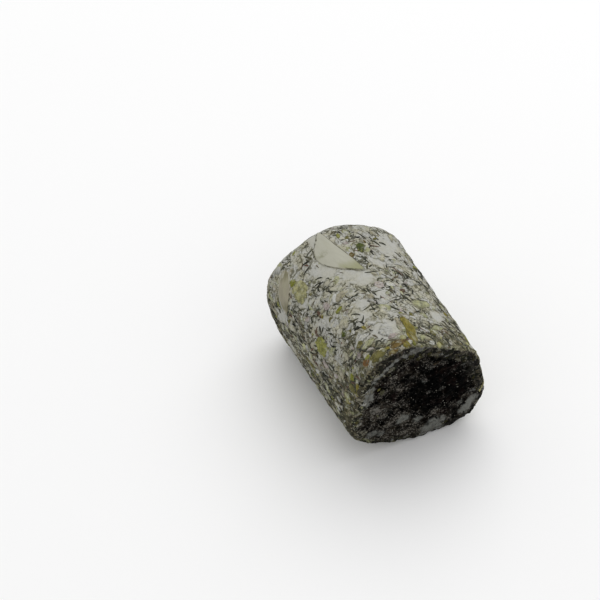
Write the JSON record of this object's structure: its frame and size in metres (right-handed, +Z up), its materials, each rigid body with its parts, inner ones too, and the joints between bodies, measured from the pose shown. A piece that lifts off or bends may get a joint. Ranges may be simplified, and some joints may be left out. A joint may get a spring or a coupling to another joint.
{
  "type": "turkish delight",
  "caption": "Short rolled log of dark gel sweet in a pressed, dusted coat of thin pistachio flakes, cut across at both ends so that the core shows.",
  "frame": {"origin": "middle of the resting flat, on the surface that the log lies on", "axes": "+Z up; +Y along the log towards its rounded rear end; the crisp cut face looks towards -Y"},
  "size_m": [0.0298, 0.0388, 0.0316],
  "materials": {
    "core_gel": "satin",
    "flake_coat": "matte",
    "nut_slice": "matte"
  },
  "bodies": {
    "root": {"core": "core_gel", "coat": "flake_coat", "pistachio_slice_1": "nut_slice", "pistachio_slice_2": "nut_slice", "pistachio_slice_3": "nut_slice", "pistachio_slice_4": "nut_slice", "pistachio_slice_5": "nut_slice", "pistachio_slice_6": "nut_slice", "pistachio_slice_7": "nut_slice", "pistachio_slice_8": "nut_slice", "pistachio_slice_9": "nut_slice", "pistachio_slice_10": "nut_slice", "pistachio_slice_11": "nut_slice", "pistachio_slice_12": "nut_slice", "pistachio_slice_13": "nut_slice"}
  },
  "joints": []
}
